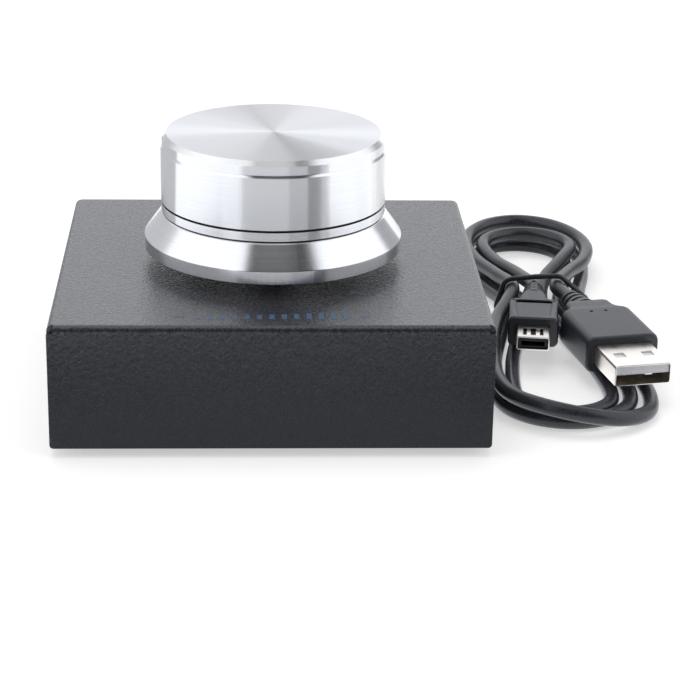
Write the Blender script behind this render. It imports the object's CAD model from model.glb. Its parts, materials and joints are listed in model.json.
import bpy
import bmesh
import json
import math
from mathutils import Matrix, Vector


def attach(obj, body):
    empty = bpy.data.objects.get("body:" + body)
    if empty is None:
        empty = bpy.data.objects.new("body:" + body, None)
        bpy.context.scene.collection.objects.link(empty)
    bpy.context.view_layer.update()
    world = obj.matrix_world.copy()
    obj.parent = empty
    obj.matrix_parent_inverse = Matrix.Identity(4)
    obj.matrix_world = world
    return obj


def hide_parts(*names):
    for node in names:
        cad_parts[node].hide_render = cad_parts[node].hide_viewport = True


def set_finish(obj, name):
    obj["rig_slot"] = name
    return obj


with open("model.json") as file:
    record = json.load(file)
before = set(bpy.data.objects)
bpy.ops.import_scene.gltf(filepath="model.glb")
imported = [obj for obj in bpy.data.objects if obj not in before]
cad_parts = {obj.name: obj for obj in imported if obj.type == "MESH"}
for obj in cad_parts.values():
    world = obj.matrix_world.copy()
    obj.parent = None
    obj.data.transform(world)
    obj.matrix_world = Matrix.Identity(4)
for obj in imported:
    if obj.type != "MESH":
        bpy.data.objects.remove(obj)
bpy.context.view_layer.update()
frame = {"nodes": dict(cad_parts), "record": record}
nodes = frame["nodes"]
mm = 0.001
quarter = math.radians(90)
weldDistance = 0.002      # points nearer than this, in mm, are one
poleRadius = 0.01      # a lathed shape's pole, in mm, before it closes
near = 1e-3      # how near in mm a corner is to the place that is asked for
print("frame loaded:", len(nodes), "nodes")


# camera, at the photograph's place

cameraSet = {"lens": 116.03, "place": (-5.78, -422.24, 169.45), "pitch": 20.83, "turn": 2.76, "roll": 0.99}


def makeCamera(s):
    data = bpy.data.cameras.new("camera")
    data.lens = s["lens"]
    data.sensor_width = 36
    data.clip_start, data.clip_end = 0.01, 20
    camera = bpy.data.objects.new("camera", data)
    bpy.context.scene.collection.objects.link(camera)
    turned = Matrix.Rotation(math.radians(-s["turn"]), 4, "Z")
    tipped = Matrix.Rotation(quarter - math.radians(s["pitch"]), 4, "X")
    rolled = Matrix.Rotation(math.radians(s["roll"]), 4, "Z")
    camera.matrix_world = Matrix.Translation(Vector(s["place"]) * mm) @ turned @ tipped @ rolled
    bpy.context.scene.camera = camera


makeCamera(cameraSet)
bpy.context.scene.view_settings.view_transform = "Standard"


# modelling by hand: starting, picking, finishing

def clearSelection():
    if bpy.context.object and bpy.context.object.mode != "OBJECT":
        bpy.ops.object.mode_set(mode="OBJECT")
    bpy.ops.object.select_all(action="DESELECT")


def camel(node):
    first, *others = node.split("_")
    return first + "".join(word.capitalize() for word in others)


def makeActive(piece):
    clearSelection()
    piece.select_set(True)
    bpy.context.view_layer.objects.active = piece


def named(name):
    piece = bpy.context.object
    piece.name = name
    piece.data.name = name
    return piece


def applyPlace(piece):
    makeActive(piece)
    bpy.ops.object.transform_apply(location=True, rotation=True, scale=True)


def pick(piece, kind, test):
    # in edit mode: selects what passes the test, which reads places in mm
    bpy.ops.mesh.select_mode(type=kind)
    bpy.ops.mesh.select_all(action="DESELECT")
    mesh = bmesh.from_edit_mesh(piece.data)
    items = {"VERT": mesh.verts, "EDGE": mesh.edges, "FACE": mesh.faces}[kind]
    for item in items:
        corners = [item.co] if kind == "VERT" else [v.co for v in item.verts]
        if test([c / mm for c in corners]):
            item.select_set(True)
    mesh.select_flush_mode()
    bmesh.update_edit_mesh(piece.data)


def applyModifier(piece, kind, **values):
    makeActive(piece)
    modifier = piece.modifiers.new(kind.lower(), kind)
    for key, value in values.items():
        setattr(modifier, key, value)
    bpy.ops.object.modifier_apply(modifier=modifier.name)


def softEdges(piece, width, segments=2, angle=32):
    applyModifier(piece, "BEVEL", width=width * mm, segments=segments, limit_method="ANGLE",
                  angle_limit=math.radians(angle), miter_outer="MITER_ARC")


def smooth(piece, angle=38):
    makeActive(piece)
    bpy.ops.object.shade_smooth_by_angle(angle=math.radians(angle))
    applyModifier(piece, "WEIGHTED_NORMAL", keep_sharp=True)


def combine(piece, other, how):
    # how is DIFFERENCE or UNION; the other piece is used up
    applyModifier(piece, "BOOLEAN", operation=how, object=other, solver="EXACT")
    bpy.data.objects.remove(other)


def joined(pieces, name):
    clearSelection()
    for piece in pieces:
        piece.select_set(True)
    bpy.context.view_layer.objects.active = pieces[0]
    bpy.ops.object.join()
    return named(name)


def cleanNormals(piece):
    makeActive(piece)
    bpy.ops.object.mode_set(mode="EDIT")
    bpy.ops.mesh.select_mode(type="VERT")
    bpy.ops.mesh.select_all(action="SELECT")
    bpy.ops.mesh.remove_doubles(threshold=weldDistance * mm)
    bpy.ops.mesh.normals_make_consistent(inside=False)
    bpy.ops.object.mode_set(mode="OBJECT")


def block(name, low, high):
    # a box between two corners, in mm
    clearSelection()
    low, high = Vector(low), Vector(high)
    bpy.ops.mesh.primitive_cube_add(size=1, location=(low + high) / 2 * mm, scale=(high - low) * mm)
    piece = named(name)
    applyPlace(piece)
    return piece


def rod(name, radius, start, end, sides=32):
    # a round bar between two points, in mm
    clearSelection()
    start, end = Vector(start), Vector(end)
    along = end - start
    bpy.ops.mesh.primitive_cylinder_add(vertices=sides, radius=radius * mm, depth=along.length * mm,
                                        location=(start + end) / 2 * mm,
                                        rotation=along.to_track_quat("Z", "Y").to_euler())
    piece = named(name)
    applyPlace(piece)
    return piece


def turned(name, profile, centre=(0, 0), sides=96):
    # a lathed shape: a circle is extruded and scaled through (radius, height) points, in mm
    clearSelection()
    radius, height = max(profile[0][0], poleRadius), profile[0][1]
    x, y = centre[0] * mm, centre[1] * mm
    bpy.ops.mesh.primitive_circle_add(vertices=sides, radius=radius * mm, location=(x, y, height * mm))
    piece = named(name)
    bpy.ops.object.mode_set(mode="EDIT")
    for nextRadius, nextHeight in profile[1:]:
        nextRadius = max(nextRadius, poleRadius)
        bpy.ops.mesh.extrude_region_move(
            TRANSFORM_OT_translate={"value": (0, 0, (nextHeight - height) * mm)})
        share = nextRadius / radius
        bpy.ops.transform.resize(value=(share, share, 1), center_override=(x, y, nextHeight * mm))
        radius, height = nextRadius, nextHeight
    for radius, height in (profile[0], profile[-1]):      # closes the poles
        if radius == 0:
            pick(piece, "VERT", lambda c: abs(c[0].z + piece.location.z / mm - height) < near
                 and math.hypot(c[0].x, c[0].y) < 2 * poleRadius)
            bpy.ops.mesh.merge(type="CENTER")
    bpy.ops.object.mode_set(mode="OBJECT")
    applyPlace(piece)
    cleanNormals(piece)
    return piece


def lofted(name, size, corner, sections, cornerSteps=5):
    # a rounded rectangle across x and z, extruded towards -y through (y, width, height), in mm
    clearSelection()
    y, width, height = sections[0]
    bpy.ops.mesh.primitive_plane_add(size=1, location=(0, y * mm, 0), rotation=(quarter, 0, 0))
    piece = named(name)
    piece.scale = (size[0] * mm, size[1] * mm, 1)
    applyPlace(piece)
    bpy.ops.object.mode_set(mode="EDIT")
    bpy.ops.mesh.select_all(action="SELECT")
    bpy.ops.mesh.bevel(offset=corner * mm, segments=cornerSteps, affect="VERTICES")
    bpy.ops.mesh.select_mode(type="FACE")
    bpy.ops.mesh.select_all(action="SELECT")
    middle = (0, y * mm, 0)
    bpy.ops.transform.resize(value=(width / size[0], 1, height / size[1]), center_override=middle)
    for nextY, nextWidth, nextHeight in sections[1:]:
        bpy.ops.mesh.extrude_region_move(TRANSFORM_OT_translate={"value": (0, (nextY - y) * mm, 0)})
        bpy.ops.transform.resize(value=(nextWidth / width, 1, nextHeight / height),
                                 center_override=(0, nextY * mm, 0))
        y, width, height = nextY, nextWidth, nextHeight
    bpy.ops.object.mode_set(mode="OBJECT")
    cleanNormals(piece)
    return piece


# cable hank: one lead through seven half loops, tied at its waist

hank = {
    "place": (61.5, 37), "diameter": 3.2,
    "low": 1.6, "high": 5.5, "endHeight": 7.4, "lift": 1.4, "waistStep": 4, "loopStep": 3.85,
    "back": 36, "front": -50, "backRadius": 10.3, "frontRadius": 9.7, "pointStep": 1.2,
    "topStrands": ((-6.8, 0.1), (-1.8, 0.5), (3, 0.5)),      # across the waist, and over the upper layer
}
smallPlug = {"start": (-2.5, -3.5), "lean": 7.4}
largePlug = {"start": (4.9, -9.2), "lean": -10.8}


def ease(x):
    x = min(1, max(0, x))
    return x * x * (3 - 2 * x)


def between(a, b, share):
    return a + (b - a) * share


def plugPoint(plug, back):
    lean = math.radians(plug["lean"])
    return (plug["start"][0] + back * math.sin(lean), plug["start"][1] + back * math.cos(lean),
            hank["endHeight"])


def hankRoute(s):
    # the same points as the solid's, local to the waist
    low, high, step, loop = s["low"], s["high"], s["waistStep"], s["loopStep"]
    waist = [((i - 2) * step, low) for i in range(5)]
    leftTop, small, large = [(x, high + up) for x, up in s["topStrands"]]
    back, front, inner = s["back"], s["front"], s["backRadius"]
    backOuter, tight = inner + loop, s["frontRadius"]
    frontOuter = tight + loop
    halfLoops = [
        (small, waist[2], 0.4, back - 2.5, inner, inner, high, high, 0.85, 1.3),
        (waist[2], waist[1], -loop / 2, front, tight, tight, low, low, 0.72, 0.72),
        (waist[1], waist[3], -0.6, back, inner, inner + 0.5, low, low, 0.85, 0.85),
        (waist[3], waist[0], -loop / 2, front, frontOuter, frontOuter, low, low, 0.72, 0.72),
        (waist[0], waist[4], -0.6, back, backOuter, 20, low, low, 0.85, 0.85),
        (waist[4], leftTop, 0, front - loop / 2, frontOuter + loop / 2, frontOuter + loop / 2,
         low, high, 0.72, 0.5),
        (leftTop, large, 0.4, back - 2.5, backOuter, 20, high, high, 0.85, 0.85),
    ]

    def lifted(along):
        return s["lift"] * (1 - ease(abs(along) / 20))

    points = []
    for n, (start, end, across, along, half, reach, zIn, zOut, powerIn, powerOut) in enumerate(halfLoops):
        side = 1 if n % 2 == 0 else -1
        for t in (0, 1 / 3, 2 / 3):
            points.append((between(start[0], across - side * half, ease(t ** powerIn)), along * t,
                           between(start[1], zIn, ease(t)) + lifted(along * t)))
        for i in range(6):
            a = math.radians(30 * i)
            points.append((across - side * half * math.cos(a), along + side * reach * math.sin(a),
                           between(zIn, zOut, ease((i / 6 - 0.1) / 0.6))))
        for t in (1, 2 / 3, 1 / 3):
            points.append((between(end[0], across + side * half, ease(t ** powerOut)), along * t,
                           between(end[1], zOut, ease(t / 0.6 if powerOut > 1 else t)) + lifted(along * t)))
    return ([plugPoint(smallPlug, 0), plugPoint(smallPlug, s["diameter"])] + points[1:]
            + [(large[0], 0, s["endHeight"]), plugPoint(largePlug, s["diameter"]),
               plugPoint(largePlug, 0)])


def evenCurve(points, step):
    # a smooth line through the points, with a point at each step
    points = [Vector(p) for p in points]
    ends = [points[0] * 2 - points[1]] + points + [points[-1] * 2 - points[-2]]
    fine = []
    for a, b, c, d in zip(ends, ends[1:], ends[2:], ends[3:]):
        t1 = math.sqrt((b - a).length)
        t2 = t1 + math.sqrt((c - b).length)
        t3 = t2 + math.sqrt((d - c).length)
        for i in range(16):
            t = t1 + (t2 - t1) * i / 16
            ab = a * ((t1 - t) / t1) + b * (t / t1)
            bc = b * ((t2 - t) / (t2 - t1)) + c * ((t - t1) / (t2 - t1))
            cd = c * ((t3 - t) / (t3 - t2)) + d * ((t - t2) / (t3 - t2))
            abc = ab * ((t2 - t) / t2) + bc * (t / t2)
            bcd = bc * ((t3 - t) / (t3 - t1)) + cd * ((t - t1) / (t3 - t1))
            fine.append(abc * ((t2 - t) / (t2 - t1)) + bcd * ((t - t1) / (t2 - t1)))
    fine.append(points[-1])
    even, rest = [fine[0]], 0.0
    for a, b in zip(fine, fine[1:]):
        length = (b - a).length
        while rest + length >= step:
            a = a.lerp(b, (step - rest) / length)
            length = (b - a).length
            even.append(a)
            rest = 0.0
        rest += length
    even.append(fine[-1])
    for p in even:      # never under the desk
        p.z = max(p.z, hank["low"])
    return even


def tube(name, points, diameter, closed=False):
    # a round cord along points in mm
    curve = bpy.data.curves.new(name, "CURVE")
    curve.dimensions = "3D"
    curve.twist_mode = "MINIMUM"
    curve.bevel_depth = diameter / 2 * mm
    curve.bevel_resolution = 6
    curve.use_fill_caps = not closed
    line = curve.splines.new("POLY")
    line.points.add(len(points) - 1)
    for point, place in zip(line.points, points):
        point.co = (*(Vector(place) * mm), 1)
    line.use_cyclic_u = closed
    line.use_smooth = True
    piece = bpy.data.objects.new(name, curve)
    bpy.context.scene.collection.objects.link(piece)
    makeActive(piece)
    bpy.ops.object.convert(target="MESH")
    piece = named(name)
    cleanNormals(piece)
    return piece


hankPlace = Vector((*hank["place"], 0))
cableLine = [p + hankPlace for p in evenCurve(hankRoute(hank), hank["pointStep"])]
cable = tube("cable", cableLine, hank["diameter"])
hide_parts("cable_hank")
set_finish(cable, "cable_jacket")
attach(cable, "root")
cableLength = sum((b - a).length for a, b in zip(cableLine, cableLine[1:]))
print("cable laid:", round(cableLength, 1), "mm")


# tie: a round cord ring round the eight strands

tieSet = {"thick": 1.15, "reach": 0.12, "turns": 72, "step": 0.7, "lean": 0.35, "leanSpan": 5}


def makeTie(s):
    # the outline of the strands at the waist, walked round as a taut ring
    low, high, lift = hank["low"], hank["high"], hank["lift"]
    strands = [((i - 2) * hank["waistStep"], low + lift) for i in range(5)]
    strands += [(x, high + up + lift) for x, up in hank["topStrands"]]
    reach = hank["diameter"] / 2 + s["reach"] + s["thick"] / 2
    ring = []
    for i in range(s["turns"]):
        a = math.radians(i * 360 / s["turns"])
        out = Vector((math.cos(a), math.sin(a)))
        best = max(strands, key=lambda p: Vector(p).dot(out))
        ring.append(Vector((best[0] + out.x * reach, 0, best[1] + out.y * reach)) + hankPlace)
    even = []
    for a, b in zip(ring, ring[1:] + ring[:1]):
        parts = max(1, round((b - a).length / s["step"]))
        even += [a.lerp(b, i / parts) for i in range(parts)]
    for p in even:      # the ring leans a little along the strands
        p.y += s["lean"] * math.sin((p.x - hankPlace.x) / s["leanSpan"])
    tie = tube("hankTie", even, s["thick"], closed=True)
    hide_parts("hank_tie")
    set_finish(tie, "cable_jacket")
    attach(tie, "root")
    return tie


hankTie = makeTie(tieSet)
print("tie made")


# the two plugs

def finishPlugPiece(piece, plug, node, slot):
    piece.location = (hankPlace + Vector((*plug["start"], hank["endHeight"]))) * mm
    piece.rotation_euler = (0, 0, -math.radians(plug["lean"]))
    applyPlace(piece)
    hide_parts(node)
    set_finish(piece, slot)
    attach(piece, "root")
    return piece


smallRelief = {"length": 7.6, "thin": 2.2, "thick": 3.15, "grooves": 4, "depth": 0.55, "spine": 1.3}
largeRelief = {"length": 9.3, "thin": 2.2, "thick": 3.55, "grooves": 3, "depth": 0.7, "spine": 0}


def makeRelief(name, length, thin, thick, grooves, depth, spine):
    # a tapered sleeve with grooves across it; a spine on top and below leaves them in pairs
    flank, share = 0.12, 0.42      # a groove's sloping side in mm, and its part of the pitch
    inset = 0.12      # how far the spine stays inside the thick end
    pitch = length / (grooves + 0.6)
    profile = [(0, 0), (thin - 0.25, 0), (thin, 0.25)]

    def radius(along):
        return between(thin, thick, along / length)

    for i in range(grooves):
        start = pitch * (i + 0.45)
        for along, cut in ((start, 0), (start + flank, depth), (start + pitch * share, depth),
                           (start + pitch * share + flank, 0)):
            profile.append((radius(along) - cut, -along))
    profile += [(thick, -length), (0, -length)]
    piece = turned(name, profile, sides=40)
    piece.rotation_euler = (-quarter, 0, 0)
    applyPlace(piece)
    if spine:
        strip = block("spine", (-spine / 2, -length + 0.1, -thin), (spine / 2, -0.3, thin))
        bpy.ops.object.mode_set(mode="EDIT")
        pick(strip, "FACE", lambda c: all(v.y < -length + 0.2 for v in c))
        taper = (thick - inset) / thin
        bpy.ops.transform.resize(value=(1, 1, taper), center_override=(0, 0, 0))
        bpy.ops.object.mode_set(mode="OBJECT")
        combine(piece, strip, "UNION")
    softEdges(piece, 0.09)
    smooth(piece)
    return piece


smallSizes = {"relief": smallRelief["length"], "grip": 18.4, "width": 10.6, "height": 6.6,
              "neckWidth": 6.3, "neckHeight": 6.0, "neckCorner": 2.6, "bodyBack": 6.0, "lip": 0.9,
              "backCorner": 1.9, "sideRound": 0.9, "panelEdge": 0.85, "panelWall": 0.14,
              "panelDepth": 0.24, "lipCorner": 1.3, "shellWidth": 6.9, "shellHeight": 3.0,
              "shellLength": 6.7, "shellCorner": 0.45, "sheet": 0.3, "fit": 0.05, "mouth": 3,
              "window": 2.1, "windowFront": 1.2, "windowBack": 5.4, "springPlace": 0.95,
              "springHalf": 0.42, "springSheet": 0.15, "springBow": 0.22, "bowFront": 2.3,
              "bowBack": 4.1, "slotSide": 0.7, "slotLow": 0.45, "slotHigh": 1.45,
              "shellHeld": 2.9, "insertFront": 0.6, "insertBack": 2.8, "insertDrop": 0.35}


def makeSmallGrip(s):
    start, end = -s["relief"], -s["relief"] - s["grip"]
    width, height = s["width"], s["height"]
    neckSize = (s["neckWidth"], s["neckHeight"])
    neck = lofted("smallPlugGrip", neckSize, s["neckCorner"], [
        (start, *neckSize), (start - 0.6, 6.5, 6.1), (start - 3.5, 7.6, 6.1), (start - 9.5, 9.9, 6.1)])
    # the body has cut corners at the back, a shallow panel on top and below, and a lip in front
    body = block("body", (-width / 2 + 0.15, end + s["lip"], -height / 2 + 0.12),
                 (width / 2 - 0.15, start - s["bodyBack"], height / 2 - 0.12))
    bpy.ops.object.mode_set(mode="EDIT")
    pick(body, "EDGE", lambda c: all(v.y > start - s["bodyBack"] - 0.1 and v.x * c[0].x > 0 for v in c)
         and abs(c[0].z - c[1].z) > 1)
    bpy.ops.mesh.bevel(offset=s["backCorner"] * mm, segments=3, affect="EDGES")
    pick(body, "EDGE", lambda c: all(abs(v.x) > width / 2 - 0.2 for v in c)
         and abs(c[0].y - c[1].y) > 2)
    bpy.ops.mesh.bevel(offset=s["sideRound"] * mm, segments=3, affect="EDGES")
    for side in (1, -1):
        pick(body, "FACE", lambda c: all(side * v.z > height / 2 - 0.2 for v in c) and len(c) > 3)
        bpy.ops.mesh.inset(thickness=s["panelEdge"] * mm, depth=0)
        bpy.ops.mesh.inset(thickness=s["panelWall"] * mm, depth=-s["panelDepth"] * mm)
    bpy.ops.object.mode_set(mode="OBJECT")
    lip = lofted("lip", (width, height), s["lipCorner"], [
        (end + 1.9, width - 0.5, height - 0.4), (end + 1.5, width, height), (end + 0.35, width, height),
        (end, width - 0.6, height - 0.6)])
    combine(lip, body, "UNION")
    hole = (s["shellWidth"] / 2 + s["fit"], s["shellHeight"] / 2 + s["fit"])
    cutter = block("mouth", (-hole[0], end - 1, -hole[1]), (hole[0], end + s["mouth"], hole[1]))
    combine(lip, cutter, "DIFFERENCE")
    combine(neck, lip, "UNION")
    softEdges(neck, 0.12, 2, 28)
    smooth(neck)
    return neck


def makeSmallShell(s):
    front = -s["relief"] - s["grip"] - s["shellLength"]
    back = front + s["shellLength"] + s["shellHeld"]
    width, height, sheet = s["shellWidth"], s["shellHeight"], s["sheet"]
    shell = lofted("smallPlugShell", (width, height), s["shellCorner"],
                   [(back, width, height), (front, width, height)], 3)
    core = lofted("core", (width - 2 * sheet, height - 2 * sheet), 0.25,
                  [(back + 1, width - 2 * sheet, height - 2 * sheet),
                   (front - 1, width - 2 * sheet, height - 2 * sheet)], 2)
    combine(shell, core, "DIFFERENCE")
    window = block("window", (-s["window"], front + s["windowFront"], 0),
                   (s["window"], front + s["windowBack"], height))
    combine(shell, window, "DIFFERENCE")
    softEdges(shell, 0.05, 2)
    springTop = height / 2 - 0.31
    for x in (-s["springPlace"], s["springPlace"]):      # two springs bowed up into the window
        spring = block("spring", (x - s["springHalf"], front + 1.0, springTop - s["springSheet"]),
                       (x + s["springHalf"], front + 5.5, springTop))
        bpy.ops.object.mode_set(mode="EDIT")
        for cut in (s["bowFront"], s["bowBack"]):
            bpy.ops.mesh.select_all(action="SELECT")
            bpy.ops.mesh.bisect(plane_co=(0, (front + cut) * mm, 0), plane_no=(0, 1, 0))
        pick(spring, "VERT", lambda c: front + 1.5 < c[0].y < front + 5)
        bpy.ops.transform.translate(value=(0, 0, s["springBow"] * mm))
        bpy.ops.object.mode_set(mode="OBJECT")
        softEdges(spring, 0.03, 2, 20)
        combine(shell, spring, "UNION")
    smooth(shell, 30)
    return shell


def makeSmallInsert(s):
    front = -s["relief"] - s["grip"] - s["shellLength"]
    half = (s["shellWidth"] / 2 - s["sheet"] - s["fit"], s["shellHeight"] / 2 - s["sheet"] - s["fit"])
    insert = block("smallPlugInsert", (-half[0], front + s["insertFront"], -half[1]),
                   (half[0], front + s["shellLength"] + s["insertBack"], half[1] - s["insertDrop"]))
    mouth = block("slot", (-half[0] + s["slotSide"], front - 1, -half[1] + s["slotLow"]),
                  (half[0] - s["slotSide"], front + 5, -half[1] + s["slotHigh"]))
    combine(insert, mouth, "DIFFERENCE")
    softEdges(insert, 0.06, 2)
    smooth(insert)
    return insert


largeSizes = {"relief": largeRelief["length"], "grip": 23.8, "width": 15.6, "height": 7.8,
              "neck": 10.4, "corner": 1.7, "dotPlace": 1.6, "dotBack": 8.4, "dotRadius": 0.42,
              "mouth": 5, "shellWidth": 12.0, "shellHeight": 4.5, "shellLength": 12.0,
              "shellCorner": 0.6, "sheet": 0.3, "fit": 0.05, "holePlace": 3, "holeHalf": 1.15,
              "holeFront": 4.8, "holeBack": 7.1, "shellHeld": 4.9, "insertFront": 0.4,
              "insertBack": 4.4, "insertLow": 0.05}


def makeLargeGrip(s):
    start, end = -s["relief"], -s["relief"] - s["grip"]
    width, height, neck = s["width"], s["height"], s["neck"]
    grip = lofted("largePlugGrip", (width, height), s["corner"], [
        (start, neck - 2.4, height - 1.6), (start - 0.5, neck - 1.2, height - 0.9),
        (start - 1.4, neck - 0.3, height - 0.5), (start - 3.2, neck, height - 0.4),
        (start - 4.4, neck + 0.5, height - 0.35), (start - 5.4, neck + 1.6, height - 0.25),
        (start - 6.1, neck + 3.1, height - 0.1), (start - 6.6, width - 0.6, height),
        (start - 7.2, width, height), (end + 0.8, width, height), (end + 0.25, width - 0.3, height - 0.3),
        (end, width - 0.9, height - 0.9)], 6)
    y = start - s["dotBack"]
    for x in (-s["dotPlace"], s["dotPlace"]):      # two small moulding dots on top
        dot = rod("dot", s["dotRadius"], (x, y, height / 2 - 0.3), (x, y, height), 20)
        combine(grip, dot, "DIFFERENCE")
    hole = (s["shellWidth"] / 2 + s["fit"], s["shellHeight"] / 2 + s["fit"])
    cutter = block("mouth", (-hole[0], end - 1, -hole[1]), (hole[0], end + s["mouth"], hole[1]))
    combine(grip, cutter, "DIFFERENCE")
    smooth(grip, 40)
    return grip


def makeLargeShell(s):
    front = -s["relief"] - s["grip"] - s["shellLength"]
    back = front + s["shellLength"] + s["shellHeld"]
    width, height, sheet = s["shellWidth"], s["shellHeight"], s["sheet"]
    shell = lofted("largePlugShell", (width, height), s["shellCorner"], [
        (back, width, height), (front + 0.35, width, height), (front, width - 0.25, height - 0.25)], 4)
    inner = (width - 2 * sheet, height - 2 * sheet)
    combine(shell, lofted("core", inner, 0.35, [(back + 1, *inner), (front - 1, *inner)], 3), "DIFFERENCE")
    for x in (-s["holePlace"], s["holePlace"]):
        hole = block("hole", (x - s["holeHalf"], front + s["holeFront"], -height),
                     (x + s["holeHalf"], front + s["holeBack"], height))
        combine(shell, hole, "DIFFERENCE")
    softEdges(shell, 0.05, 2)
    smooth(shell, 30)
    return shell


def makeLargeInsert(s):
    front = -s["relief"] - s["grip"] - s["shellLength"]
    half = s["shellWidth"] / 2 - s["sheet"] - s["fit"]
    top = s["shellHeight"] / 2 - s["sheet"] - s["fit"]
    insert = block("largePlugInsert", (-half, front + s["insertFront"], s["insertLow"]),
                   (half, front + s["shellLength"] + s["insertBack"], top))
    softEdges(insert, 0.15, 3)
    smooth(insert)
    return insert


plugRows = [   # the piece, its plug, its node and its slot
    (makeRelief("smallPlugRelief", **smallRelief), smallPlug, "small_plug_relief", "plug_plastic"),
    (makeSmallGrip(smallSizes), smallPlug, "small_plug_grip", "plug_plastic"),
    (makeSmallShell(smallSizes), smallPlug, "small_plug_shell", "plug_metal"),
    (makeSmallInsert(smallSizes), smallPlug, "small_plug_insert", "black_plastic"),
    (makeRelief("largePlugRelief", **largeRelief), largePlug, "large_plug_relief", "plug_plastic"),
    (makeLargeGrip(largeSizes), largePlug, "large_plug_grip", "plug_plastic"),
    (makeLargeShell(largeSizes), largePlug, "large_plug_shell", "plug_metal"),
    (makeLargeInsert(largeSizes), largePlug, "large_plug_insert", "white_plastic"),
]
plugPieces = [hankTie] + [finishPlugPiece(*row) for row in plugRows]
print("plugs made")


# case cover: one sheet folded down on four sides

case = {
    "width": 84, "depth": 81, "foot": 2, "height": 24.6, "sheet": 1.2, "bend": 1.3, "relief": 0.3,
    "seam": 0.15, "bendSteps": 8, "corner": 0.7,
    "tabIn": 31.8, "tabOut": 41.3, "tabHalf": 5, "tabLow": 3.2, "tabHigh": 4.4,
    "screwX": 36.3, "screwY": 18, "screwHole": 1.5, "neck": (0.65, 0), "neckHole": 3.65,
    "socketHole": ((-4.25, 38, 17.95), (4.25, 42, 22.85)),
}


def makeCover(s):
    w, d, r = s["width"] / 2, s["depth"] / 2, s["bend"]
    top, bottom = s["foot"] + s["height"], s["foot"]
    sideHalf = d - s["sheet"] - s["seam"]
    clearSelection()
    bpy.ops.mesh.primitive_plane_add(size=1, location=(0, 0, top * mm))
    cover = named("topCover")
    cover.scale = (2 * (w - r) * mm, 2 * (d - r) * mm, 1)
    applyPlace(cover)
    bpy.ops.object.mode_set(mode="EDIT")
    walls = [   # axis of the fold, its sign, half width, half depth, half length of the wall
        ("y", -1, d, w), ("y", 1, d, w), ("x", -1, w, sideHalf), ("x", 1, w, sideHalf)]
    for axis, sign, reach, wallHalf in walls:
        edge = reach - r
        pick(cover, "EDGE", lambda c: all(abs(getattr(v, axis) - sign * edge) < near
                                          and v.z > top - near for v in c))
        if axis == "y":
            centre, spinAxis = (0, sign * edge * mm, (top - r) * mm), (-sign, 0, 0)
        else:
            centre, spinAxis = (sign * edge * mm, 0, (top - r) * mm), (0, sign, 0)
        bpy.ops.mesh.spin(steps=s["bendSteps"], angle=-quarter, center=centre, axis=spinAxis)
        for drop in (s["relief"], top - r - s["relief"] - bottom):
            bpy.ops.mesh.extrude_region_move(TRANSFORM_OT_translate={"value": (0, 0, -drop * mm)})
        across = "x" if axis == "y" else "y"
        bendHalf = (w if axis == "y" else d) - r
        for end in (-1, 1) if wallHalf > bendHalf else ():      # the wall is longer than its bend
            pick(cover, "EDGE", lambda c: all(abs(getattr(v, axis) - sign * reach) < near
                                              and abs(getattr(v, across) - end * bendHalf) < near
                                              for v in c) and abs(c[0].z - c[1].z) > 5)
            move = end * (wallHalf - bendHalf) * mm
            step = (move, 0, 0) if across == "x" else (0, move, 0)
            bpy.ops.mesh.extrude_region_move(TRANSFORM_OT_translate={"value": step})
    pick(cover, "VERT", lambda c: c[0].z < bottom + near)
    bpy.ops.mesh.bevel(offset=s["corner"] * mm, segments=4, affect="VERTICES")
    bpy.ops.object.mode_set(mode="OBJECT")
    cleanNormals(cover)
    applyModifier(cover, "SOLIDIFY", thickness=s["sheet"] * mm, offset=-1, use_even_offset=True)
    cleanNormals(cover)
    for x in (-1, 1):      # tabs that take the screws from below
        for y in (-s["screwY"], s["screwY"]):
            left, right = sorted((x * s["tabIn"], x * s["tabOut"]))
            tab = block("tab", (left, y - s["tabHalf"], s["tabLow"]), (right, y + s["tabHalf"], s["tabHigh"]))
            combine(cover, tab, "UNION")
            place = x * s["screwX"]
            hole = rod("hole", s["screwHole"], (place, y, s["tabLow"] - 0.2), (place, y, s["tabHigh"] + 0.2))
            combine(cover, hole, "DIFFERENCE")
    combine(cover, rod("neck", s["neckHole"], (*s["neck"], 20), (*s["neck"], 30), 48), "DIFFERENCE")
    combine(cover, block("socketHole", *s["socketHole"]), "DIFFERENCE")
    softEdges(cover, 0.12, 2, 50)
    smooth(cover, 35)
    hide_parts("top_cover")
    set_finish(cover, "powder_coat")
    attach(cover, "root")
    return cover


topCover = makeCover(case)
print("cover folded")


# volume marks on the top, generic: a minus, rising bars and a plus

marks = {"middle": 0.0, "base": -36.2, "width": 37, "thick": 0.03, "bars": 13, "barWidth": 1.0,
         "low": 1.0, "high": 3.8, "signRoom": 4.5, "signHeight": 1.4, "signHalf": 1, "stroke": 0.22}


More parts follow.
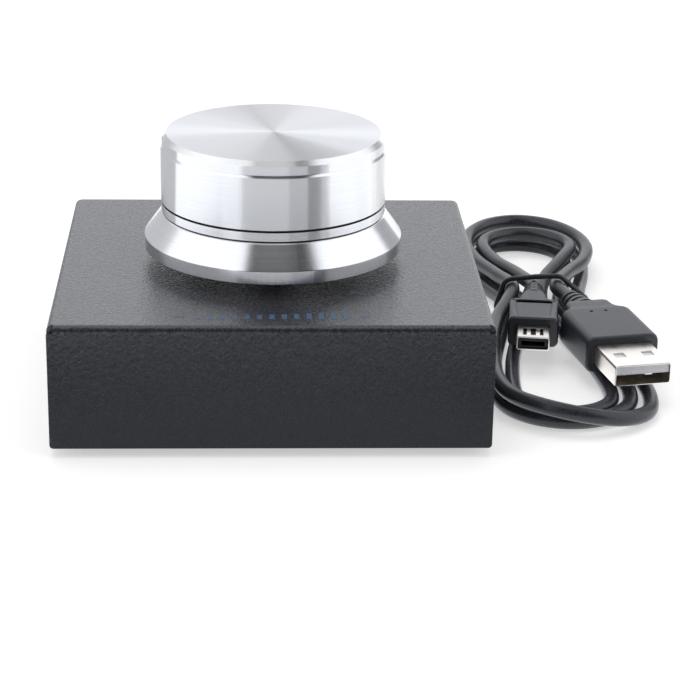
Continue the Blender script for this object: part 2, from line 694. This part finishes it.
def makeMarks(s):
    top = case["foot"] + case["height"]
    pieces = []

    def mark(x0, x1, y0, y1):
        piece = block("mark", (x0, y0, top - 0.01), (x1, y1, top + s["thick"]))
        softEdges(piece, 0.012, 1)
        pieces.append(piece)

    span = s["width"] - 2 * s["signRoom"]
    for i in range(s["bars"]):
        x = s["middle"] - span / 2 + span * i / (s["bars"] - 1)
        tall = between(s["low"], s["high"], i / (s["bars"] - 1))
        mark(x - s["barWidth"] / 2, x + s["barWidth"] / 2, s["base"], s["base"] + tall)
    y, size, stroke = s["base"] + s["signHeight"], s["signHalf"], s["stroke"]
    minus = s["middle"] - s["width"] / 2 + size
    plus = s["middle"] + s["width"] / 2 - size
    mark(minus - size, minus + size, y - stroke, y + stroke)
    mark(plus - size, plus + size, y - stroke, y + stroke)
    mark(plus - stroke, plus + stroke, y - size, y - stroke)
    mark(plus - stroke, plus + stroke, y + stroke, y + size)
    piece = joined(pieces, "volumeMarks")
    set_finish(piece, "powder_coat")
    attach(piece, "root")
    return piece


volumeMarks = makeMarks(marks)
print("marks made")


# knob: a turned body over a conical skirt

knob = {
    "axis": (0.65, 0), "base": 29.6, "sides": 192,
    "body": [      # radius, and height over the base, from the top's middle round to the boss
        (0, 23.4), (21.4, 23.4), (22.3, 22.5), (22.3, 20.8), (22.1, 20.72), (22.55, 20.25),
        (22.55, 9.9), (21.95, 9.9), (21.95, 9.4), (22.45, 9.4), (22.45, 7.7), (21.95, 7.7),
        (21.95, 7.4), (19.55, 7.4), (19.55, 1), (17.05, 1), (17.05, 17), (7.5, 17), (7.5, 3.3),
        (3.03, 3.3), (3.03, 16.2), (0, 16.2)],
    "skirt": [
        (19.6, 0), (25.7, 0), (25.9, 0.2), (25.9, 2.7), (22.7, 7.05), (22.3, 7.4), (19.6, 7.4),
        (19.6, 0)],
    "screwHeight": 13.5, "threadHole": 1.55, "reachHole": 1.7,
    "face": (21.37, 23.3), "rim": (25.85, 2.75), "grooveRadius": (21.5, 22.42),
    "grooves": ((9.36, 9.94), (7.36, 7.74)),
}


def knobProfile(points):
    return [(r, knob["base"] + z) for r, z in points]


def makeKnobBody(s):
    body = turned("knobBody", knobProfile(s["body"]), s["axis"], s["sides"])
    x, z = s["axis"][0], s["base"] + s["screwHeight"]
    combine(body, rod("threadHole", s["threadHole"], (x, 1, z), (x, 9, z)), "DIFFERENCE")
    combine(body, rod("reachHole", s["reachHole"], (x, 8, z), (x, 26, z), 48), "DIFFERENCE")
    softEdges(body, 0.07, 2, 25)
    smooth(body, 35)
    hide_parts("knob_body")
    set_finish(body, "turned_aluminium")
    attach(body, "knob")
    return body


def makeKnobSkirt(s):
    skirt = turned("knobSkirt", knobProfile(s["skirt"]), s["axis"], s["sides"])
    softEdges(skirt, 0.06, 2, 20)
    smooth(skirt, 35)
    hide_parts("knob_skirt")
    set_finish(skirt, "turned_aluminium")
    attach(skirt, "knob")
    return skirt


knobBody = makeKnobBody(knob)
knobSkirt = makeKnobSkirt(knob)
print("knob turned")


# feet and screws

feet = {"places": (31, 29.5), "radius": 4.5, "height": 2}
screws = {"radius": 1.45, "head": 2.7, "headHeight": 1.5, "key": 1.05, "keyDepth": 0.9}
tabPlaces = [(x, y) for x in (-case["screwX"], case["screwX"]) for y in (-case["screwY"], case["screwY"])]
boardPlaces = [(x, y) for x in (-24, 24) for y in (-17.2, 34.8)]
screwRows = [   # node, places, height of the head's seat, length, whether the screw points up
    ("cover_screws", tabPlaces, 2, 4.4, True),
    ("plate_screws", boardPlaces, 2, 5.2, True),
    ("board_screws", boardPlaces, 18.4, 5.6, False),
]


def makeFeet(s):
    pieces = []
    r, h = s["radius"], s["height"]
    profile = [(0, 0.35), (r * 0.45, 0.3), (r * 0.6, 0.0), (r - 0.8, 0), (r - 0.3, 0.15), (r, 0.6), (r, h),
               (0, h)]
    for x in (-1, 1):
        for y in (-1, 1):
            centre = (x * s["places"][0], y * s["places"][1])
            pieces.append(turned("foot", profile, centre, 48))
    piece = joined(pieces, "rubberFeet")
    softEdges(piece, 0.12, 2, 25)
    smooth(piece)
    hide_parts("rubber_feet")
    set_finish(piece, "rubber_foot")
    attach(piece, "root")
    return piece


def makeScrews(s, node, places, seat, length, up):
    # a domed head with a six-sided socket, made once and copied to its places
    head, tall, shank = s["head"], s["headHeight"], s["radius"]
    profile = [(0, -tall), (head * 0.62, -tall), (head * 0.88, -tall * 0.72), (head, -tall * 0.3),
               (head, 0), (shank, 0), (shank, length - 0.5), (shank - 0.4, length), (0, length)]
    pattern = turned(camel(node), profile, sides=40)
    key = rod("key", s["key"], (0, 0, -tall - 1), (0, 0, -tall + s["keyDepth"]), 6)
    combine(pattern, key, "DIFFERENCE")
    softEdges(pattern, 0.08, 2, 30)
    smooth(pattern)
    pieces = []
    for x, y in places:
        copied = pattern.copy()
        copied.data = pattern.data.copy()
        bpy.context.scene.collection.objects.link(copied)
        copied.location = Vector((x, y, seat)) * mm
        copied.rotation_euler = (0 if up else math.pi, 0, 0)
        applyPlace(copied)
        pieces.append(copied)
    bpy.data.objects.remove(pattern)
    piece = joined(pieces, camel(node))
    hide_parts(node)
    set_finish(piece, "screw_steel")
    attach(piece, "root")
    return piece


rubberFeet = makeFeet(feet)
screwPieces = [makeScrews(screws, *row) for row in screwRows]
print("feet and screws made")


# materials

def shaderOf(material):
    return material.node_tree.nodes["Principled BSDF"]


def fill(node, values):
    for key, value in values.items():
        node.inputs[key].default_value = value


def newMaterial(name, colour, rough, metal=0.0, **more):
    material = bpy.data.materials.new(name)
    material.use_nodes = True
    fill(shaderOf(material), {"Base Color": (*colour, 1), "Roughness": rough, "Metallic": metal, **more})
    return material


def addNode(material, kind, **values):
    node = material.node_tree.nodes.new("ShaderNode" + kind)
    for key, value in values.items():
        setattr(node, key, value)
    return node


def link(material, start, end):
    material.node_tree.links.new(start, end)


def objectPlace(material, centre=(0, 0, 0), stretch=(1, 1, 1)):
    # object coordinates, centred on a point in mm
    place = addNode(material, "TexCoord")
    mapping = addNode(material, "Mapping")
    fill(mapping, {"Location": [-c * mm * k for c, k in zip(centre, stretch)], "Scale": stretch})
    link(material, place.outputs["Object"], mapping.inputs["Vector"])
    return mapping.outputs["Vector"]


def noise(material, vector, size, detail=3.0, roughness=0.5):
    # size is the grain in mm
    node = addNode(material, "TexNoise")
    fill(node, {"Scale": 1 / (size * mm), "Detail": detail, "Roughness": roughness})
    link(material, vector, node.inputs["Vector"])
    return node.outputs[0]


def colourFrom(material, value, dark, light, low=0.3, high=0.7):
    ramp = addNode(material, "ValToRGB")
    ramp.color_ramp.elements[0].position = low
    ramp.color_ramp.elements[0].color = (*dark, 1)
    ramp.color_ramp.elements[1].position = high
    ramp.color_ramp.elements[1].color = (*light, 1)
    link(material, value, ramp.inputs["Fac"])
    link(material, ramp.outputs["Color"], shaderOf(material).inputs["Base Color"])


def roughFrom(material, value, low, high):
    spread = addNode(material, "MapRange")
    fill(spread, {"From Min": 0.3, "From Max": 0.7, "To Min": low, "To Max": high})
    link(material, value, spread.inputs["Value"])
    link(material, spread.outputs[0], shaderOf(material).inputs["Roughness"])


def bumpFrom(material, value, height, strength=1.0):
    # height of the relief in mm
    bump = addNode(material, "Bump")
    fill(bump, {"Distance": height * mm, "Strength": strength})
    link(material, value, bump.inputs["Height"])
    link(material, bump.outputs["Normal"], shaderOf(material).inputs["Normal"])
    return bump


def grained(name, dark, light, rough, grain, height, metal=0.0):
    # a plain finish: colour, gloss and relief all vary with one grain
    material = newMaterial(name, light, rough[1], metal)
    value = noise(material, objectPlace(material), grain)
    colourFrom(material, value, dark, light)
    roughFrom(material, value, *rough)
    bumpFrom(material, value, height)
    return material


def powderCoat():
    material = newMaterial("powderCoat", (0.02, 0.021, 0.026), 0.5, **{
        "IOR": 1.75, "Sheen Weight": 0.1, "Sheen Roughness": 0.4})
    place = objectPlace(material)
    grain = noise(material, place, 0.6, 2, 0.6)
    colourFrom(material, grain, (0.0165, 0.0175, 0.0245), (0.0215, 0.0228, 0.0315))
    roughFrom(material, grain, 0.2, 0.33)
    bumpFrom(material, grain, 0.14)
    return material


def turnedAluminium(name, dark, light, rough, tilt):
    # turning lines run round the axis: they follow the radius on flats and the height on walls,
    # and the tool's steps tilt the flat ones outwards
    material = newMaterial(name, light, rough, 1.0,
                           **{"Anisotropic": 1.0, "Anisotropic Rotation": 0.25})
    flat = objectPlace(material, (*knob["axis"], 0), (1, 1, 0))
    whole = objectPlace(material)
    radius = addNode(material, "VectorMath", operation="LENGTH")
    link(material, flat, radius.inputs[0])
    height = addNode(material, "SeparateXYZ")
    link(material, whole, height.inputs[0])
    lines = addNode(material, "CombineXYZ")
    link(material, radius.outputs["Value"], lines.inputs[0])
    link(material, height.outputs["Z"], lines.inputs[2])
    value = noise(material, lines.outputs[0], 0.3, 5, 0.75)
    colourFrom(material, value, dark, light, 0.25, 0.75)
    roughFrom(material, value, rough * 0.88, rough * 1.12)
    bump = bumpFrom(material, value, 0.003, 0.5)
    if tilt:
        slope = addNode(material, "Math", operation="MULTIPLY")
        fill(slope, {1: -math.tan(math.radians(tilt))})
        steps = addNode(material, "Bump")
        fill(steps, {"Distance": 1.0})
        link(material, radius.outputs["Value"], slope.inputs[0])
        link(material, slope.outputs[0], steps.inputs["Height"])
        link(material, steps.outputs["Normal"], bump.inputs["Normal"])
    tangent = addNode(material, "Tangent", direction_type="RADIAL", axis="Z")
    link(material, tangent.outputs[0], shaderOf(material).inputs["Tangent"])
    return material


def circuitBoard():
    material = newMaterial("circuitBoard", (0.01, 0.12, 0.05), 0.35)
    place = objectPlace(material)
    tracks = addNode(material, "TexBrick", offset=0.5, squash=0.6)
    fill(tracks, {"Scale": 1 / (9 * mm), "Mortar Size": 0.03, "Mortar": (0.02, 0.22, 0.09, 1),
                  "Color1": (0.008, 0.10, 0.04, 1), "Color2": (0.010, 0.12, 0.05, 1)})
    link(material, place, tracks.inputs["Vector"])
    link(material, tracks.outputs["Color"], shaderOf(material).inputs["Base Color"])
    roughFrom(material, noise(material, place, 1.5), 0.3, 0.42)
    bumpFrom(material, tracks.outputs["Fac"], 0.03)
    return material


plainFinishes = {   # dark, light, roughness from and to, grain and relief in mm, and metal if it is one
    "rubber_foot": ((0.014, 0.014, 0.015), (0.026, 0.026, 0.027), (0.7, 0.85), 0.4, 0.02),
    "screw_steel": ((0.42, 0.42, 0.43), (0.6, 0.6, 0.61), (0.25, 0.38), 0.3, 0.004, 1.0),
    "brass": ((0.62, 0.42, 0.14), (0.78, 0.56, 0.24), (0.22, 0.34), 0.5, 0.004, 1.0),
    "black_plastic": ((0.014, 0.014, 0.016), (0.026, 0.026, 0.028), (0.4, 0.55), 0.25, 0.008),
    "white_plastic": ((0.62, 0.64, 0.68), (0.72, 0.74, 0.77), (0.35, 0.45), 0.6, 0.005),
    "tinned_metal": ((0.55, 0.55, 0.56), (0.72, 0.72, 0.73), (0.22, 0.4), 0.7, 0.005, 1.0),
    "contact_metal": ((0.74, 0.52, 0.18), (0.86, 0.66, 0.3), (0.2, 0.3), 0.3, 0.003, 1.0),
    "cast_zinc": ((0.42, 0.42, 0.44), (0.58, 0.58, 0.6), (0.35, 0.5), 0.3, 0.015, 1.0),
    "spring_metal": ((0.52, 0.47, 0.34), (0.68, 0.62, 0.48), (0.2, 0.3), 0.5, 0.003, 1.0),
    "bare_aluminium": ((0.68, 0.68, 0.7), (0.8, 0.8, 0.82), (0.25, 0.35), 0.2, 0.004, 1.0),
    "cable_jacket": ((0.018, 0.0195, 0.025), (0.028, 0.0302, 0.038), (0.26, 0.36), 0.5, 0.012),
    "plug_plastic": ((0.02, 0.0215, 0.027), (0.03, 0.0322, 0.040), (0.34, 0.44), 0.25, 0.01),
    "plug_metal": ((0.87, 0.83, 0.77), (0.92, 0.88, 0.82), (0.27, 0.33), 2.5, 0.002, 1.0),
}
finishes = {slot: grained(camel(slot), *values) for slot, values in plainFinishes.items()}
finishes["powder_coat"] = powderCoat()
finishes["circuit_board"] = circuitBoard()
finishes["turned_aluminium"] = turnedAluminium(
    "turnedAluminium", (0.78, 0.79, 0.805), (0.92, 0.93, 0.945), 0.215, 0)
knobFace = turnedAluminium("knobFace", (0.66, 0.667, 0.677), (0.71, 0.717, 0.727), 0.32, 9)
knobRim = turnedAluminium("knobRim", (0.7, 0.71, 0.72), (0.82, 0.83, 0.84), 0.13, 0)
grooveShade = grained("grooveShade", (0.02, 0.02, 0.022), (0.04, 0.04, 0.043), (0.5, 0.7), 0.3, 0.004, 0.6)
markInk = grained("markInk", (0.045, 0.085, 0.15), (0.06, 0.11, 0.19), (0.45, 0.55), 0.3, 0.002)


def dress(piece, material):
    piece.data.materials.clear()
    piece.data.materials.append(material)


for part in frame["record"]["subparts"]:
    dress(nodes[part["node"]], finishes[part["material_slot"]])
for piece in [cable, topCover, knobBody, knobSkirt, rubberFeet] + screwPieces + plugPieces:
    dress(piece, finishes[piece["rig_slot"]])
dress(volumeMarks, markInk)


def dressFaces(piece, material, test):
    # another finish on the faces whose middle passes the test, which reads the radius from the knob's
    # axis and the height over its base
    piece.data.materials.append(material)
    number = len(piece.data.materials) - 1
    for face in piece.data.polygons:
        middle = face.center / mm
        radius = math.hypot(middle.x - knob["axis"][0], middle.y - knob["axis"][1])
        if test(radius, middle.z - knob["base"]):
            face.material_index = number


def inGroove(r, z):
    inner, outer = knob["grooveRadius"]
    return inner < r < outer and any(low < z < high for low, high in knob["grooves"])


dressFaces(knobBody, knobFace, lambda r, z: r < knob["face"][0] and z > knob["face"][1])
dressFaces(knobSkirt, knobRim, lambda r, z: r > knob["rim"][0] and z < knob["rim"][1])
dressFaces(knobBody, grooveShade, inGroove)
print("materials on")


# studio: floor, white surround, soft lamps, and cards that only reflections see

studio = {"floorGlow": 0.5, "floorColour": 0.62, "surround": 0.5, "fade": (0.6, 1.6), "floorSize": 12,
          "floorDrop": 0.02, "lampAim": (0, 0, 0.02)}
lamps = {   # place, size in metres, power in watts
    "overhead": ((-0.15, 0.1, 1.1), 0.9, 5.0),
    "leftPanel": ((-1.0, -0.5, 0.6), 0.7, 3.0),
    "rightPanel": ((1.0, -0.5, 0.6), 0.7, 3.0),
}
cardSet = {"middle": 45, "reach": 1.3, "drop": 0.0445, "steps": 8, "tint": (0.96, 0.975, 1.02, 1)}
cards = {   # turn from the front and height over the knob in degrees, brightness
    "darkFront": ((-31, 46.5), (1, 66), 0.01),
    "darkHigh": ((57, 92), (64, 78), 0.02),
    "darkBack": ((130, 166), (44, 72), 0.05),
    "whiteBack": ((147, 200), (2, 42), 1.3),
    "footDesk": ((-45, 50), (-75, -29), 0.3),
    "nearDesk": ((-45, 50), (-29, -19), 0.04),
    "brightLeft": ((-112, -45), (-45, -7), 1.25),
    "brightRight": ((54, 112), (-45, -7), 1.25),
    "paleDesk": ((-45, 14), (-19, -9), 1.65),
    "greyDesk": ((14, 32), (-19, -9), 1.3),
    "darkerDesk": ((32, 54), (-19, -9), 0.75),
    "farDesk": ((-34, 54), (-9, 0), 0.05),
    "whiteLeft": ((-112, -31), (-6, 58), 1.3),
    "whiteRight": ((46.5, 122), (-6, 58), 1.3),
    "greyBackLeft": ((-160, -112), (-25, 24), 0.6),
    "greyBackRight": ((122, 147), (-10, 24), 0.4),
}


def rayShare(tree):
    # 1 for camera, glossy and transmission rays
    path = tree.nodes.new("ShaderNodeLightPath")
    first, second = tree.nodes.new("ShaderNodeMath"), tree.nodes.new("ShaderNodeMath")
    first.operation = second.operation = "MAXIMUM"
    tree.links.new(path.outputs["Is Camera Ray"], first.inputs[0])
    tree.links.new(path.outputs["Is Glossy Ray"], first.inputs[1])
    tree.links.new(first.outputs[0], second.inputs[0])
    tree.links.new(path.outputs["Is Transmission Ray"], second.inputs[1])
    return second.outputs[0]


def makeFloor(s):
    clearSelection()
    bpy.ops.mesh.primitive_plane_add(size=s["floorSize"], location=(0, 0, -s["floorDrop"] * mm))
    floor = named("floor")
    applyPlace(floor)
    material = newMaterial("floorPaint", (s["floorColour"],) * 3, 0.9)
    shader = shaderOf(material)
    fill(shader, {"Specular IOR Level": 0.0, "Emission Color": (1, 1, 1, 1)})
    glow = addNode(material, "Math", operation="MULTIPLY")
    distance = addNode(material, "VectorMath", operation="LENGTH")
    link(material, objectPlace(material), distance.inputs[0])
    level = addNode(material, "MapRange")      # the lamps fade far out, so the floor's own light grows
    fill(level, {"From Min": s["fade"][0], "From Max": s["fade"][1], "To Min": s["floorGlow"], "To Max": 1.0})
    link(material, distance.outputs["Value"], level.inputs["Value"])
    link(material, rayShare(material.node_tree), glow.inputs[0])
    link(material, level.outputs[0], glow.inputs[1])
    link(material, glow.outputs[0], shader.inputs["Emission Strength"])
    dress(floor, material)


def makeSurround(s):
    world = bpy.data.worlds.new("surround")
    bpy.context.scene.world = world
    world.use_nodes = True
    tree = world.node_tree
    background = tree.nodes["Background"]
    fill(background, {"Color": (1, 1, 1, 1)})
    level = tree.nodes.new("ShaderNodeMapRange")
    fill(level, {"To Min": s["surround"], "To Max": 1.0})
    tree.links.new(rayShare(tree), level.inputs["Value"])
    tree.links.new(level.outputs[0], background.inputs["Strength"])


def makeLamp(name, place, size, power):
    data = bpy.data.lights.new(name, "AREA")
    data.shape = "SQUARE"
    data.size = size
    data.energy = power
    lamp = bpy.data.objects.new(name, data)
    bpy.context.scene.collection.objects.link(lamp)
    lamp.location = place
    aim = Vector(studio["lampAim"]) - Vector(place)
    lamp.rotation_euler = aim.to_track_quat("-Z", "Y").to_euler()
    lamp.visible_glossy = False      # the cards stand for it in the metal


def makeCard(s, name, turns, heights, tone):
    # a curved card that only reflections see, round the knob at arm's length
    middle = Vector((*knob["axis"], s["middle"])) * mm
    steps = s["steps"]
    rows = []
    for j in range(steps + 1):
        up = math.radians(between(heights[0], heights[1], j / steps))
        reach = s["reach"]
        if up < 0:      # never under the desk
            reach = min(reach, s["drop"] / math.sin(-up))
        row = []
        for i in range(steps + 1):
            turn = math.radians(between(turns[0], turns[1], i / steps))
            out = Vector((math.sin(turn) * math.cos(up), -math.cos(turn) * math.cos(up), math.sin(up)))
            row.append(middle + out * reach)
        rows.append(row)
    points = [p for row in rows for p in row]
    count = steps + 1
    faces = [(j * count + i, j * count + i + 1, (j + 1) * count + i + 1, (j + 1) * count + i)
             for j in range(steps) for i in range(steps)]
    mesh = bpy.data.meshes.new(name)
    mesh.from_pydata(points, [], faces)
    card = bpy.data.objects.new(name, mesh)
    bpy.context.scene.collection.objects.link(card)
    card.visible_camera = card.visible_diffuse = card.visible_shadow = False
    card.visible_transmission = card.visible_volume_scatter = False
    material = newMaterial(name + "Paint", (0, 0, 0), 1.0)
    fill(shaderOf(material), {
        "Specular IOR Level": 0.0, "Emission Color": s["tint"], "Emission Strength": tone})
    dress(card, material)


makeFloor(studio)
makeSurround(studio)
for name, (place, size, power) in lamps.items():
    makeLamp(name, place, size, power)
for name, (turns, heights, tone) in cards.items():
    makeCard(cardSet, name, turns, heights, tone)
print("studio lit")
